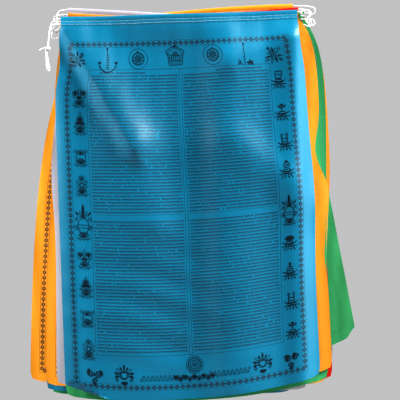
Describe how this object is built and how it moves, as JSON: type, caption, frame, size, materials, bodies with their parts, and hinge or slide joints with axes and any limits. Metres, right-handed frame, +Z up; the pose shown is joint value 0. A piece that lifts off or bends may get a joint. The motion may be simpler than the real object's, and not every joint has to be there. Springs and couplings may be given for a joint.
{
  "type": "prayer flag string",
  "caption": "Bundle of large printed cotton flags on one string, folded back and forth, hanging by its top edge.",
  "frame": {"origin": "middle of the bundle's top edge, where it is held", "axes": "+Z up, the front flag faces -Y, +X to the right as one faces it"},
  "size_m": [0.7193, 0.1805, 0.858],
  "materials": {
    "cloth_blue": "thin cloth with a soft sheen",
    "cloth_yellow": "thin cloth with a soft sheen",
    "cloth_green": "thin cloth with a soft sheen",
    "cloth_red": "thin cloth with a soft sheen",
    "cloth_white": "thin cloth with a soft sheen",
    "cord": "matt cotton"
  },
  "bodies": {
    "root": {"cord_knot": "cord", "cord_loop": "cord", "cord_tail": "cord", "cord_turn_01": "cord", "cord_turn_02": "cord", "cord_turn_03": "cord", "cord_turn_04": "cord", "cord_turn_05": "cord", "cord_turn_06": "cord", "cord_turn_07": "cord", "cord_turn_08": "cord", "cord_turn_09": "cord", "cord_turn_10": "cord", "cord_turn_11": "cord", "cord_turn_12": "cord", "cord_turn_13": "cord", "cord_turn_14": "cord", "cord_turn_15": "cord", "cord_turn_16": "cord", "cord_turn_17": "cord", "cord_turn_18": "cord", "cord_turn_19": "cord", "flag_01_blue": "cloth_blue", "flag_02_yellow": "cloth_yellow", "flag_03_green": "cloth_green", "flag_04_red": "cloth_red", "flag_05_white": "cloth_white", "flag_06_blue": "cloth_blue", "flag_07_yellow": "cloth_yellow", "flag_08_green": "cloth_green", "flag_09_red": "cloth_red", "flag_10_white": "cloth_white", "flag_11_blue": "cloth_blue", "flag_12_yellow": "cloth_yellow", "flag_13_green": "cloth_green", "flag_14_red": "cloth_red", "flag_15_white": "cloth_white", "flag_16_blue": "cloth_blue", "flag_17_yellow": "cloth_yellow", "flag_18_green": "cloth_green", "flag_19_red": "cloth_red", "flag_20_white": "cloth_white"}
  },
  "joints": []
}
